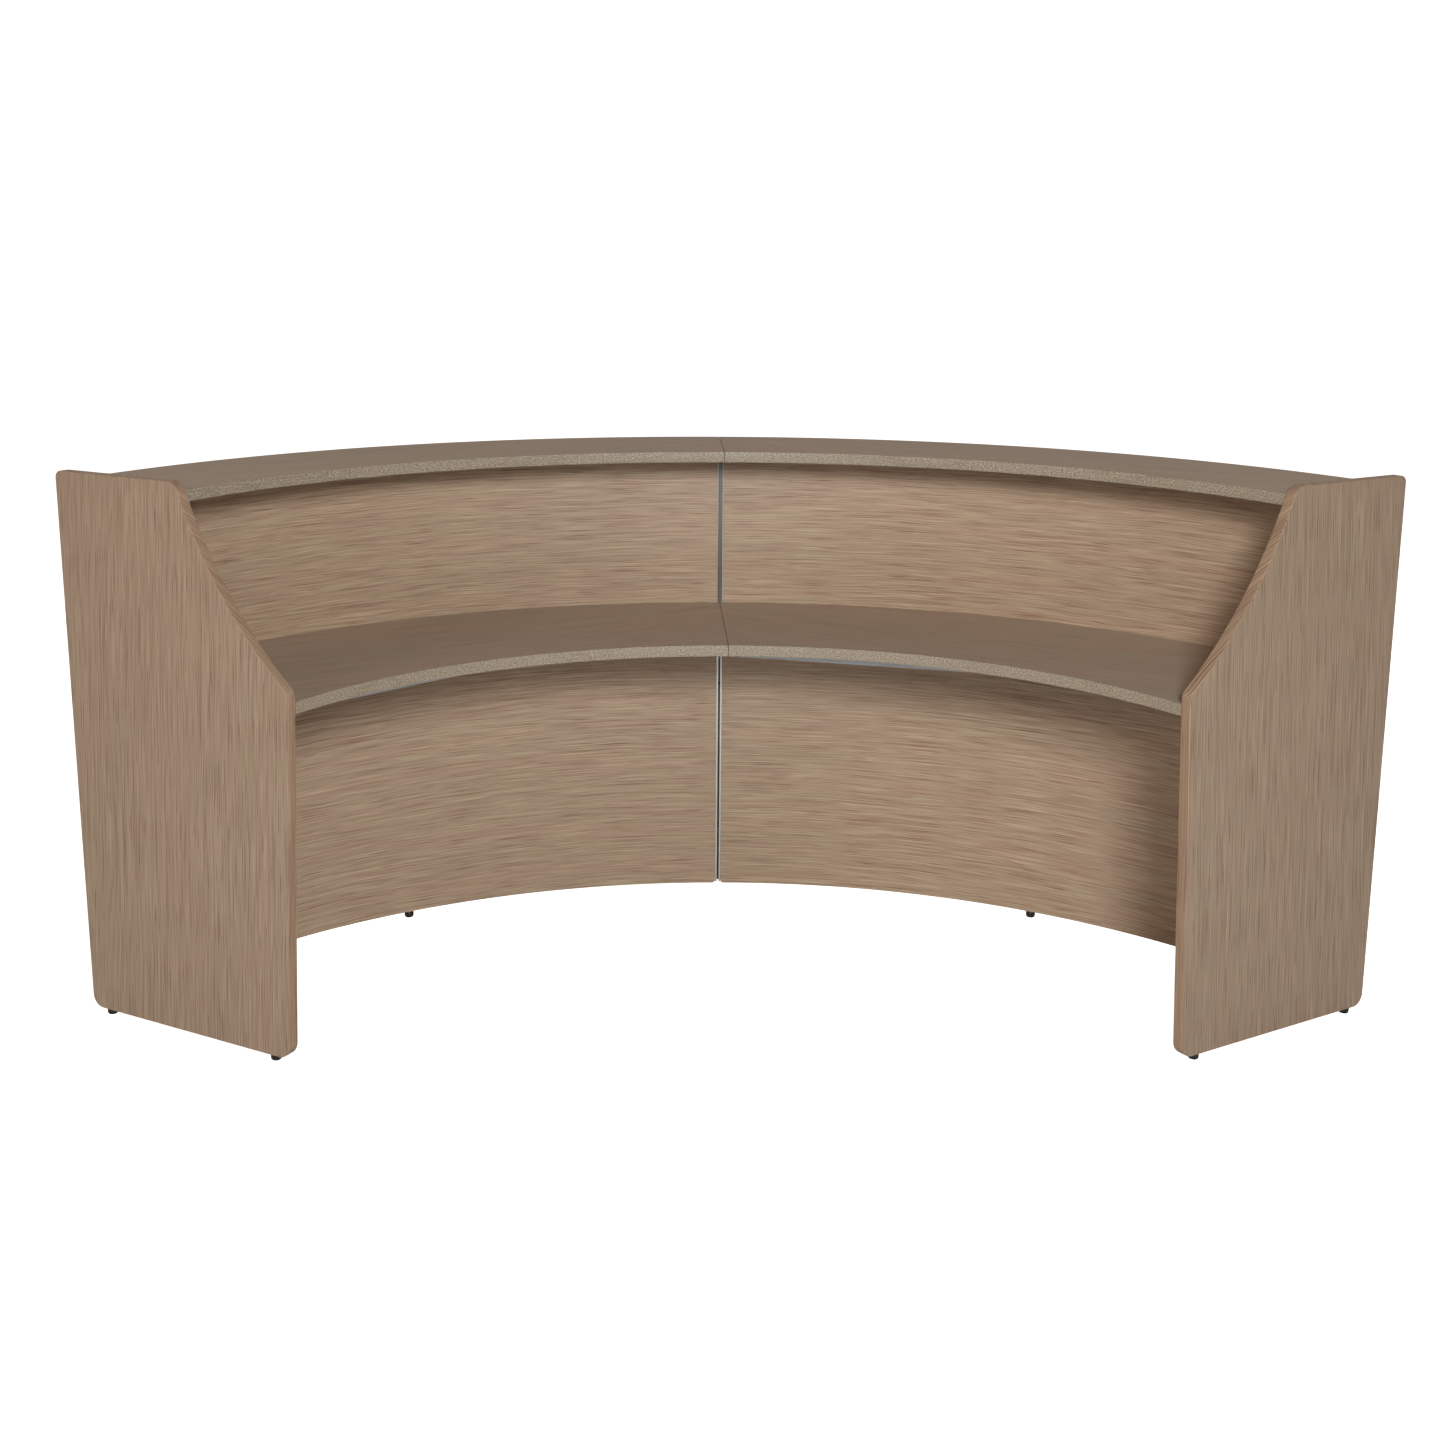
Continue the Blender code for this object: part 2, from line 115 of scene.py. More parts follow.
def woodgrain_laminate(name, dark, tan, pale, pink, olive, contrast=1.0, closeness=1.0,
                       roughness=0.47, specular=0.5):
    """High pressure laminate with a printed oak grain: long fine streaks, with pinkish and olive
    zones a few centimetres wide, under a satin melamine face. The grain runs along u.
    The distances below are those of a print with a closeness of 1."""
    made, tree, shader = new_material(name)
    uv = add(tree, "ShaderNodeUVMap", uv_map="grain")
    # The print wanders: streaks drift by a few millimetres over a third of a metre
    sway_at = add(tree, "ShaderNodeMapping", {"Vector": uv.outputs[0], "Scale": (3.0, 9.0, 1.0)})
    sway = add(tree, "ShaderNodeTexNoise",
               {"Vector": sway_at.outputs[0], "Scale": 1.0, "Detail": 2.0})
    offset = add(tree, "ShaderNodeVectorMath", {0: sway.outputs["Color"], 1: (0.5, 0.5, 0.5)},
                 operation="SUBTRACT")
    shift = add(tree, "ShaderNodeVectorMath", {0: offset.outputs[0], 1: (0.0, 0.016, 0.0)},
                operation="MULTIPLY")
    grain = add(tree, "ShaderNodeVectorMath", {0: uv.outputs[0], 1: shift.outputs[0]},
                operation="ADD")

    # Growth zones: about 30 mm wide and 0.8 m long
    zone_at = add(tree, "ShaderNodeMapping",
                  {"Vector": grain.outputs[0], "Scale": (1.3, 32.0, 1.0)})
    zones = add(tree, "ShaderNodeTexNoise",
                {"Vector": zone_at.outputs[0], "Scale": 1.0, "Detail": 3.0})
    zone_tone = add(tree, "ShaderNodeValToRGB", {"Fac": zones.outputs["Fac"]},
                    stops=((0.42, olive), (0.5, tan), (0.58, pink)))

    # Streaks: 4 mm apart, about 350 mm long
    streak_at = add(tree, "ShaderNodeMapping",
                    {"Vector": grain.outputs[0], "Scale": (2.8, 240.0 * closeness, 1.0)})
    streaks = add(tree, "ShaderNodeTexNoise",
                  {"Vector": streak_at.outputs[0], "Scale": 1.0, "Detail": 1.5, "Roughness": 0.6})
    streak_tone = add(tree, "ShaderNodeValToRGB", {"Fac": streaks.outputs["Fac"]},
                      stops=((0.35, dark), (0.46, tan), (0.54, tan), (0.65, pale)))
    body = add(tree, "ShaderNodeMix",
               {"Factor": 0.62 * contrast, "A": zone_tone.outputs[0], "B": streak_tone.outputs[0]},
               data_type="RGBA")

    # Fine grain: 2 mm apart, 130 mm long
    fine_at = add(tree, "ShaderNodeMapping",
                  {"Vector": grain.outputs[0], "Scale": (7.5, 500.0 * closeness, 1.0)})
    fine = add(tree, "ShaderNodeTexNoise",
               {"Vector": fine_at.outputs[0], "Scale": 1.0, "Detail": 1.0})
    fine_tone = add(tree, "ShaderNodeValToRGB", {"Fac": fine.outputs["Fac"]},
                    stops=((0.36, dark), (0.45, tan), (0.54, tan), (0.64, pale)))
    grained = add(tree, "ShaderNodeMix",
                  {"Factor": 0.45 * contrast, "A": body.outputs["Result"], "B": fine_tone.outputs[0]},
                  data_type="RGBA")

    # Open pores: rows of them print as thin dark dashes, 1.2 mm wide and up to 100 mm long
    pore_at = add(tree, "ShaderNodeMapping",
                  {"Vector": grain.outputs[0], "Scale": (10.0, 430.0, 1.0)})
    pores = add(tree, "ShaderNodeTexNoise",
                {"Vector": pore_at.outputs[0], "Scale": 1.0, "Detail": 1.0})
    pore = add(tree, "ShaderNodeMapRange",
               {"Value": pores.outputs["Fac"], "From Min": 0.62, "From Max": 0.72,
                "To Max": 0.75 * contrast})
    colour = add(tree, "ShaderNodeMix",
                 {"Factor": pore.outputs[0], "A": grained.outputs["Result"], "B": linear(dark)},
                 data_type="RGBA")
    tree.links.new(colour.outputs["Result"], shader.inputs["Base Color"])

    # The face is embossed in register with the grain, so the streaks vary the gloss a little
    gloss = add(tree, "ShaderNodeMapRange",
                {"Value": streaks.outputs["Fac"], "From Min": 0.3, "From Max": 0.7,
                 "To Min": roughness + 0.05, "To Max": roughness - 0.05})
    tree.links.new(gloss.outputs[0], shader.inputs["Roughness"])
    relief = add(tree, "ShaderNodeMath", {0: fine.outputs["Fac"], 1: pore.outputs[0]},
                 operation="SUBTRACT")
    bump = add(tree, "ShaderNodeBump",
               {"Height": relief.outputs[0], "Strength": 0.25, "Distance": 0.0001})
    tree.links.new(bump.outputs[0], shader.inputs["Normal"])
    shader.inputs["Specular IOR Level"].default_value = specular
    return made


CONTOURS = 52.0         # how closely the band's loops are nested


def abs_edge_band(name):
    """ABS edge banding, printed in a pale beige to match: fine short flecks, and in places the
    long nested loops of a flat-sawn board. The print runs along u."""
    made, tree, shader = new_material(name)
    uv = add(tree, "ShaderNodeUVMap", uv_map="grain")
    # Flecks: 2.4 mm across, 6 mm long
    fleck_at = add(tree, "ShaderNodeMapping",
                   {"Vector": uv.outputs[0], "Scale": (170.0, 420.0, 1.0)})
    flecks = add(tree, "ShaderNodeTexNoise",
                 {"Vector": fleck_at.outputs[0], "Scale": 1.0, "Detail": 2.0, "Roughness": 0.7})
    base = add(tree, "ShaderNodeValToRGB", {"Fac": flecks.outputs["Fac"]},
               stops=((0.40, "#716558"), (0.5, "#8D816F"), (0.60, "#A89B88")))
    # Loops: contour lines of a slow field, 250 mm long and as wide as the band
    field_at = add(tree, "ShaderNodeMapping",
                   {"Vector": uv.outputs[0], "Scale": (4.0, 46.0, 1.0)})
    field = add(tree, "ShaderNodeTexNoise",
                {"Vector": field_at.outputs[0], "Scale": 1.0, "Detail": 0.5})
    contour = add(tree, "ShaderNodeMath", {0: field.outputs["Fac"], 1: CONTOURS},
                  operation="MULTIPLY")
    wave = add(tree, "ShaderNodeMath", {0: contour.outputs[0]}, operation="SINE")
    lines = add(tree, "ShaderNodeMapRange",
                {"Value": wave.outputs[0], "From Min": -0.2, "From Max": 1.0, "To Max": 0.4})
    # They come in stretches of about 400 mm
    place_at = add(tree, "ShaderNodeMapping",
                   {"Vector": uv.outputs[0], "Scale": (2.6, 6.0, 1.0)})
    places = add(tree, "ShaderNodeTexNoise",
                 {"Vector": place_at.outputs[0], "Scale": 1.0, "Detail": 0.0})
    here = add(tree, "ShaderNodeMapRange",
               {"Value": places.outputs["Fac"], "From Min": 0.5, "From Max": 0.62})
    amount = add(tree, "ShaderNodeMath", {0: here.outputs[0], 1: lines.outputs[0]},
                 operation="MULTIPLY")
    colour = add(tree, "ShaderNodeMix",
                 {"Factor": amount.outputs[0], "A": base.outputs[0], "B": linear("#72644F")},
                 data_type="RGBA")
    tree.links.new(colour.outputs["Result"], shader.inputs["Base Color"])
    bump = add(tree, "ShaderNodeBump",
               {"Height": flecks.outputs["Fac"], "Strength": 0.15, "Distance": 0.0001})
    tree.links.new(bump.outputs[0], shader.inputs["Normal"])
    shader.inputs["Roughness"].default_value = 0.5
    return made


def brushed_metal(name, code, roughness):
    """Rolled steel, brushed along its length: fine long lines in the gloss."""
    made, tree, shader = new_material(name)
    where = add(tree, "ShaderNodeTexCoord")
    # Brush lines: 0.8 mm apart, drawn coarser than the real 0.1 mm so that they show
    line_at = add(tree, "ShaderNodeMapping",
                  {"Vector": where.outputs["Object"], "Scale": (1250.0, 1250.0, 12.0)})
    lines = add(tree, "ShaderNodeTexNoise",
                {"Vector": line_at.outputs[0], "Scale": 1.0, "Detail": 2.0})
    tone = add(tree, "ShaderNodeMapRange",
               {"Value": lines.outputs["Fac"], "From Min": 0.3, "From Max": 0.7,
                "To Min": 0.9, "To Max": 1.06})
    colour = add(tree, "ShaderNodeMix",
                 {"Factor": 1.0, "A": linear(code), "B": tone.outputs[0]}, data_type="RGBA",
                 blend_type="MULTIPLY")
    tree.links.new(colour.outputs["Result"], shader.inputs["Base Color"])
    gloss = add(tree, "ShaderNodeMapRange",
                {"Value": lines.outputs["Fac"], "From Min": 0.3, "From Max": 0.7,
                 "To Min": roughness - 0.05, "To Max": roughness + 0.07})
    tree.links.new(gloss.outputs[0], shader.inputs["Roughness"])
    bump = add(tree, "ShaderNodeBump",
               {"Height": lines.outputs["Fac"], "Strength": 0.2, "Distance": 0.00005})
    tree.links.new(bump.outputs[0], shader.inputs["Normal"])
    shader.inputs["Metallic"].default_value = 1.0
    return made


def zinc_plate(name):
    """Bright zinc plating on pressed steel: a cool grey with soft cloudy patches."""
    made, tree, shader = new_material(name)
    where = add(tree, "ShaderNodeTexCoord")
    # Patches: 6 mm across
    patch_at = add(tree, "ShaderNodeMapping",
                   {"Vector": where.outputs["Object"], "Scale": (160.0, 160.0, 160.0)})
    patches = add(tree, "ShaderNodeTexNoise",
                  {"Vector": patch_at.outputs[0], "Scale": 1.0, "Detail": 3.0})
    tone = add(tree, "ShaderNodeValToRGB", {"Fac": patches.outputs["Fac"]},
               stops=((0.35, "#9DA1A4"), (0.5, "#B2B5B6"), (0.65, "#C2C3C0")))
    tree.links.new(tone.outputs[0], shader.inputs["Base Color"])
    gloss = add(tree, "ShaderNodeMapRange",
                {"Value": patches.outputs["Fac"], "From Min": 0.3, "From Max": 0.7,
                 "To Min": 0.28, "To Max": 0.42})
    tree.links.new(gloss.outputs[0], shader.inputs["Roughness"])
    shader.inputs["Metallic"].default_value = 1.0
    return made


def powder_coat(name, code):
    """Polyester powder coat, baked on: an even pale grey with a fine orange-peel surface."""
    made, tree, shader = new_material(name)
    where = add(tree, "ShaderNodeTexCoord")
    # Orange peel: 1.5 mm between its bumps
    peel_at = add(tree, "ShaderNodeMapping",
                  {"Vector": where.outputs["Object"], "Scale": (650.0, 650.0, 650.0)})
    peel = add(tree, "ShaderNodeTexNoise",
               {"Vector": peel_at.outputs[0], "Scale": 1.0, "Detail": 1.0})
    tone = add(tree, "ShaderNodeMapRange",
               {"Value": peel.outputs["Fac"], "From Min": 0.3, "From Max": 0.7,
                "To Min": 0.94, "To Max": 1.04})
    colour = add(tree, "ShaderNodeMix", {"Factor": 1.0, "A": linear(code), "B": tone.outputs[0]},
                 data_type="RGBA", blend_type="MULTIPLY")
    tree.links.new(colour.outputs["Result"], shader.inputs["Base Color"])
    bump = add(tree, "ShaderNodeBump",
               {"Height": peel.outputs["Fac"], "Strength": 0.3, "Distance": 0.00008})
    tree.links.new(bump.outputs[0], shader.inputs["Normal"])
    shader.inputs["Roughness"].default_value = 0.38
    return made


def moulded_nylon(name):
    """Injection moulded black nylon: a glossy face with duller, dusty scuffs."""
    made, tree, shader = new_material(name)
    where = add(tree, "ShaderNodeTexCoord")
    # Scuffs: 3 mm patches where the glide has been pushed about
    scuff_at = add(tree, "ShaderNodeMapping",
                   {"Vector": where.outputs["Object"], "Scale": (330.0, 330.0, 330.0)})
    scuffs = add(tree, "ShaderNodeTexNoise",
                 {"Vector": scuff_at.outputs[0], "Scale": 1.0, "Detail": 4.0})
    tone = add(tree, "ShaderNodeValToRGB", {"Fac": scuffs.outputs["Fac"]},
               stops=((0.4, "#0B0B0C"), (0.62, "#161616"), (0.75, "#2A2927")))
    tree.links.new(tone.outputs[0], shader.inputs["Base Color"])
    gloss = add(tree, "ShaderNodeMapRange",
                {"Value": scuffs.outputs["Fac"], "From Min": 0.4, "From Max": 0.75,
                 "To Min": 0.18, "To Max": 0.4})
    tree.links.new(gloss.outputs[0], shader.inputs["Roughness"])
    return made


# ---------------------------------------------------------------- shapes

def place(radius, bearing, z):
    """The point at a radius, bearing and height."""
    turn = radians(bearing)
    return AXIS + Vector((radius * sin(turn), radius * cos(turn), z))


def bearing_of(point):
    return degrees(atan2(point.x, point.y - AXIS_Y))


def radius_of(point):
    return hypot(point.x, point.y - AXIS_Y)


# A grain function gives a point's place on the print, in metres along and across the streaks.
# The offsets in them are metres too, and give every board its own stretch of the print.

def along_curve(start):
    """Grain that follows the curve, for walls and bands. start sets where the print begins."""
    def grain(point, _):
        radius = radius_of(point)
        return start + WALL_IN * radians(bearing_of(point)), start + point.z + radius - WALL_IN
    return grain


def along_chord(side):
    """Straight grain, level with the unit's chord, for the tops."""
    turn = radians(side * UNIT_ANGLE / 2)
    chord = Vector((cos(turn), -sin(turn), 0.0))
    outward = Vector((sin(turn), cos(turn), 0.0))

    def grain(point, _):
        return 5.0 * side + chord.dot(point), outward.dot(point) + point.z
    return grain


def upright(side):
    """Upright grain, for the end panels."""
    turn = radians(side * UNIT_ANGLE)
    outward = Vector((cos(turn), -sin(turn), 0.0)) * side

    def grain(point, _=None):
        return point.z + 7.0 * side, radius_of(point) + outward.dot(point - AXIS)
    return grain


STEEP = 0.3             # faces whose normal has less height than this count as upright


def round_panel(side):
    """Grain of an end panel's band: upright on the upright stretches, slanting across the others."""
    lengthwise = upright(side)

    def grain(point, normal):
        if abs(normal.z) < STEEP:
            u, v = lengthwise(point)
            return u, v + 3.0
        return point.y + 11.0 * side, abs(point.x) - point.z
    return grain


def lathe(centre, profile, sides=48):
    """Turns a (radius, height) profile, from its middle at the bottom to its middle at the top."""
    bm = bmesh.new()
    rings = []
    for r, z in profile:
        if r == 0:
            rings.append([bm.verts.new((centre.x, centre.y, z))])
        else:
            turns = [2 * pi * k / sides for k in range(sides)]
            rings.append([bm.verts.new((centre.x + r * cos(t), centre.y + r * sin(t), z))
                          for t in turns])
    for ring, following in zip(rings, rings[1:]):
        for k in range(sides):
            corners = [ring[k % len(ring)], ring[(k + 1) % len(ring)]]
            corners += [following[(k + 1) % len(following)], following[k % len(following)]]
            bm.faces.new(list(dict.fromkeys(corners)))
    return bm


def foot_bores(*labels):
    """The blind holes that some feet screw up into: each hole's middle, radius and top."""
    bores = []
    for label in labels:
        low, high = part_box(f"foot_insert_{label}")
        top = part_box(f"foot_stem_{label}")[1].z + BORE_SPARE
        bores.append(((low + high) / 2, (high.x - low.x) / 2 + FIT, top))
    return bores


def drill(made, bores):
    """Cuts the feet's holes into a piece, from the floor up."""
    cutters = []
    for middle, radius, top in bores:
        bm = lathe(middle, [(0, 0), (radius, 0), (radius, top), (0, top)])
        bmesh.ops.recalc_face_normals(bm, faces=bm.faces)
        mesh = bpy.data.meshes.new("foot_bore")
        bm.to_mesh(mesh)
        bm.free()
        cutter = bpy.data.objects.new("foot_bore", mesh)
        bpy.context.scene.collection.objects.link(cutter)
        cutters.append(cutter)
        cut = made.modifiers.new("foot_bore", "BOOLEAN")
        cut.operation, cut.solver, cut.object = "DIFFERENCE", "EXACT", cutter
    graph = bpy.context.evaluated_depsgraph_get()
    made.data = bpy.data.meshes.new_from_object(made.evaluated_get(graph))
    made.modifiers.clear()
    for cutter in cutters:
        bpy.data.objects.remove(cutter)


def show(name, bm, material, replaces, grain=None, body="counter", bores=(), sharp=32.0):
    """Makes a piece of bm, lays its grain, drills it, and lets it ride in place of its CAD nodes.
    Edges that turn by more than sharp degrees stay crisp."""
    bmesh.ops.recalc_face_normals(bm, faces=bm.faces)
    if grain:
        layer = bm.loops.layers.uv.new("grain")
        for face in bm.faces:
            for loop in face.loops:
                loop[layer].uv = grain(loop.vert.co, face.normal)
    mesh = bpy.data.meshes.new(name)
    bm.to_mesh(mesh)
    bm.free()
    mesh.materials.append(material)
    made = bpy.data.objects.new(name, mesh)
    bpy.context.scene.collection.objects.link(made)
    if bores:
        drill(made, bores)
    made.data.shade_smooth()
    made.data.set_sharp_from_angle(angle=radians(sharp))
    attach(made, body)
    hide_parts(*replaces)


def loft(rings, looped=False):
    """Skins closed rings of points, in order. An open stack is capped, a looped one joins up."""
    bm = bmesh.new()
    skins = [[bm.verts.new(point) for point in ring] for ring in rings]
    pairs = list(zip(skins, skins[1:]))
    if looped:
        pairs.append((skins[-1], skins[0]))
    for ring, following in pairs:
        count = len(ring)
        for i in range(count):
            j = (i + 1) % count
            bm.faces.new((ring[i], ring[j], following[j], following[i]))
    if not looped:
        bm.faces.new(skins[0])
        bm.faces.new(skins[-1])
    return bm


def rounded(x_low, x_high, y_low, y_high, radii, steps=4):
    """A rectangle with its own radius at each corner: low-low, high-low, high-high, low-high."""
    corners = ((x_low, y_low, 1, 1), (x_high, y_low, -1, 1),
               (x_high, y_high, -1, -1), (x_low, y_high, 1, -1))
    points = []
    for number, ((x, y, in_x, in_y), radius) in enumerate(zip(corners, radii)):
        if radius == 0:
            points.append((x, y))
            continue
        first = pi + number * pi / 2
        for k in range(steps + 1):
            turn = first + k / steps * pi / 2
            points.append((x + radius * (in_x + cos(turn)), y + radius * (in_y + sin(turn))))
    return points


STEP = 0.5              # degrees between the sections of a swept board
NEAR_START, NEAR_END = 0.4, 0.1   # no inner section stands closer than this to an end


def unit_bearings(start_gap, end_gap, radius, extra=()):
    """Bearings of a board's sections along one unit, held back from both ends by a gap in metres.
    extra holds more sections near the joint, in metres from the board's end."""
    low = degrees(start_gap / radius)
    high = UNIT_ANGLE - degrees(end_gap / radius)
    inner = [k * STEP for k in range(1, round(UNIT_ANGLE / STEP))
             if low + NEAR_START < k * STEP < high - NEAR_END]
    return [low] + [low + degrees(step / radius) for step in extra] + inner + [high]


def curved(side, section, start_gap, end_gap):
    """Sweeps a (radius, height) section along a unit, its two ends parallel to the end planes."""
    rings = []
    radii = [r for r, _ in section]
    middle = (min(radii) + max(radii)) / 2
    for bearing in unit_bearings(start_gap, end_gap, middle):
        share = bearing / UNIT_ANGLE
        ring = []
        for r, z in section:
            shift = ((1 - share) * start_gap - share * end_gap) * (1 / r - 1 / middle)
            ring.append(place(r, side * (bearing + degrees(shift)), z))
        rings.append(ring)
    return loft(rings)


# ---------------------------------------------------------------- boards

CORNER = 0.007          # radius of the walls' lower corners at the joint
CORNER_SECTIONS = (0.0002, 0.0006, 0.0013, 0.0024, 0.004, 0.0055, CORNER)


def wall_board(side, word, material):
    """The curved wall. Its lower corner at the joint is rounded off."""
    rings = []
    wall_out = WALL_IN + BOARD
    for bearing in unit_bearings(WALL_START, FIT, WALL_IN, CORNER_SECTIONS):
        along = max(0.0, CORNER - (radians(bearing) * WALL_IN - WALL_START))
        low = WALL_LOW + CORNER - (CORNER ** 2 - along ** 2) ** 0.5
        section = rounded(WALL_IN, wall_out, low, WALL_HIGH, (WALL_ARRIS, WALL_ARRIS, 0, 0))
        rings.append([place(r, side * bearing, z) for r, z in section])
    show(f"wall_board_{word}", loft(rings), material, [f"wall_{word}"],
         along_curve(9.0 + 4.3 * side), bores=foot_bores(f"{word}_wall"))


def top_boards(side, word, laminate, top_laminate, band):
    """Worktop and transaction top, each a board between its edge bands."""
    chord = along_chord(side)
    square = (0, 0, 0, 0)
    staff_arrises = (BAND_ARRIS, 0, 0, BAND_ARRIS)
    customer_arrises = (0, BAND_ARRIS, BAND_ARRIS, 0)

    core = rounded(WORK_IN + BAND + HAIRLINE, WALL_IN - FIT, WORK_LOW, WORK_TOP, square)
    show(f"worktop_board_{word}", curved(side, core, SEAM, FIT), laminate,
         [f"worktop_{word}"], chord)
    edge = rounded(WORK_IN, WORK_IN + BAND, WORK_LOW, WORK_TOP, staff_arrises)
    show(f"worktop_band_{word}", curved(side, edge, SEAM, FIT), band,
         [f"worktop_edge_{word}"], along_curve(20.0 + 3.1 * side))

    inner, outer = TRANSACTION_IN + BAND, TRANSACTION_OUT - BAND
    core = rounded(inner + HAIRLINE, outer - HAIRLINE, TOP_LOW, TOP_HIGH, square)
    show(f"transaction_board_{word}", curved(side, core, SEAM, FIT), top_laminate,
         [f"transaction_top_{word}"], chord)
    edge = rounded(TRANSACTION_IN, inner, TOP_LOW, TOP_HIGH, staff_arrises)
    show(f"transaction_band_staff_{word}", curved(side, edge, SEAM, FIT), band,
         [f"transaction_edge_staff_{word}"], along_curve(30.0 + 2.3 * side))
    edge = rounded(outer, TRANSACTION_OUT, TOP_LOW, TOP_HIGH, customer_arrises)
    show(f"transaction_band_customer_{word}", curved(side, edge, SEAM, FIT), band,
         [f"transaction_edge_customer_{word}"], along_curve(40.0 + 2.9 * side))


# End panel outline, in the panel's own plane: radius, height
FOOT_OUT = 1.542
TOP_OUT = 1.633
TOP_IN = 1.30
KNEE = 0.747
HOLLOW_DEPTH = 0.029
KNEE_ROUND = 0.025
TOP_IN_ROUND = 0.035
TOP_OUT_ROUND = 0.014
FOOT_ROUND = 0.028
SLOPE_STEPS = 56
SLOPE_KEPT = slice(5, -4)   # the slope's ends give way to the rounds at its corners
PANEL_ARRIS = 0.0014
ARC_STEP = 5.0              # degrees turned by each step of a round corner


def arc(middle, radius, start, end, steps):
    """Points of an arc round middle from start to end, the shorter way."""
    first = atan2(*(start - middle).yx)
    sweep = (atan2(*(end - middle).yx) - first + pi) % (2 * pi) - pi
    turns = [first + sweep * k / steps for k in range(steps + 1)]
    return [middle + radius * Vector((cos(turn), sin(turn))) for turn in turns]


def fillet(before, corner, after, radius):
    """Points of the arc that rounds off a corner between its two neighbours."""
    to_before = (before - corner).normalized()
    to_after = (after - corner).normalized()
    half = to_before.angle(to_after) / 2
    middle = corner + (to_before + to_after).normalized() * radius / sin(half)
    reach = radius * cos(half) / sin(half)
    steps = max(6, ceil(degrees(pi - 2 * half) / ARC_STEP))
    return arc(middle, radius, corner + to_before * reach, corner + to_after * reach, steps)


def panel_outline():
    """Anticlockwise, with the radius to the right and +Z up. The slope dips inwards."""
    foot_in, foot_out = Vector((WORK_IN, PANEL_LOW)), Vector((FOOT_OUT, PANEL_LOW))
    top_out, top_in = Vector((TOP_OUT, PANEL_HIGH)), Vector((TOP_IN, PANEL_HIGH))
    knee = Vector((WORK_IN, KNEE))
    chord = knee - top_in
    radius = chord.length ** 2 / (8 * HOLLOW_DEPTH) + HOLLOW_DEPTH / 2
    right = Vector((chord.y, -chord.x)).normalized()
    middle = (top_in + knee) / 2 + right * (radius - HOLLOW_DEPTH)
    slope = arc(middle, radius, top_in, knee, SLOPE_STEPS)[SLOPE_KEPT]
    outline = fillet(knee, foot_in, foot_out, FOOT_ROUND)
    outline += fillet(foot_in, foot_out, top_out, FOOT_ROUND)
    outline += fillet(foot_out, top_out, top_in, TOP_OUT_ROUND)
    outline += fillet(top_out, top_in, slope[0], TOP_IN_ROUND)
    outline += slope
    outline += fillet(slope[-1], knee, foot_in, KNEE_ROUND)
    return outline


def inset(outline, distance):
    """The outline moved inwards by a distance."""
    moved = []
    for i, point in enumerate(outline):
        arriving = (point - outline[i - 1]).normalized()
        leaving = (outline[(i + 1) % len(outline)] - point).normalized()
        inward = Vector((-arriving.y - leaving.y, arriving.x + leaving.x)).normalized()
        moved.append(point + inward * distance / inward.dot(Vector((-arriving.y, arriving.x))))
    return moved


def panel_point(side, flat, out):
    """A point of an end panel: flat is its place in the panel's plane, out its depth outwards."""
    turn = radians(side * UNIT_ANGLE)
    outward = Vector((cos(turn), -sin(turn), 0.0)) * side
    return place(flat.x, side * UNIT_ANGLE, flat.y) + outward * out


def end_panel(side, word, laminate, band):
    """A shaped board, and the band that wraps all round its edge with softly rounded arrises."""
    bores = foot_bores(f"{word}_front", f"{word}_back")
    outline = panel_outline()
    core = inset(outline, BAND + HAIRLINE)
    layers = [[panel_point(side, p, out) for p in core] for out in (0.0, BOARD)]
    show(f"end_board_{word}", loft(layers), laminate, [f"end_panel_{word}"],
         upright(side), bores=bores)
    section = rounded(0.0, BAND, 0.0, BOARD, (PANEL_ARRIS, 0, 0, PANEL_ARRIS))
    loops = [[panel_point(side, p, out) for p in inset(outline, depth)] for depth, out in section]
    show(f"end_band_{word}", loft(loops, looped=True), band,
         [f"end_panel_edge_{word}"], round_panel(side), bores=bores)


# ---------------------------------------------------------------- metalwork and feet

STRIP_ARRIS = 0.0004


def steel_bar(name, material, node):
    """A flat steel bar standing on end in a CAD node's place, its long edges just broken."""
    low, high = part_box(node)
    section = rounded(low.x, high.x, low.y, high.y, (STRIP_ARRIS,) * 4, steps=3)
    bm = loft([[Vector((x, y, z)) for x, y in section] for z in (low.z, high.z)])
    show(name, bm, material, [node])


def joint_steel(strip, cover):
    """The two strips beside the joint's slot, and the covers before and behind it."""
    for _, word in SIDES:
        steel_bar(f"steel_strip_{word}", strip, f"joint_strip_{word}")
    steel_bar("steel_cover_front", cover, "joint_cover")
    steel_bar("steel_cover_back", cover, "joint_back_cover")


# Stiffener: a straight tube under the worktop, square to the line from the axis at its bearing
TUBE_DISTANCE = 1.078
TUBE_BEARING = 15.8
TUBE_START, TUBE_END = 1.5, 29.5    # bearings of its ends
TUBE = 0.025
TUBE_WALL = 0.002
TUBE_ROUND, TUBE_ROUND_INSIDE = 0.003, 0.0012


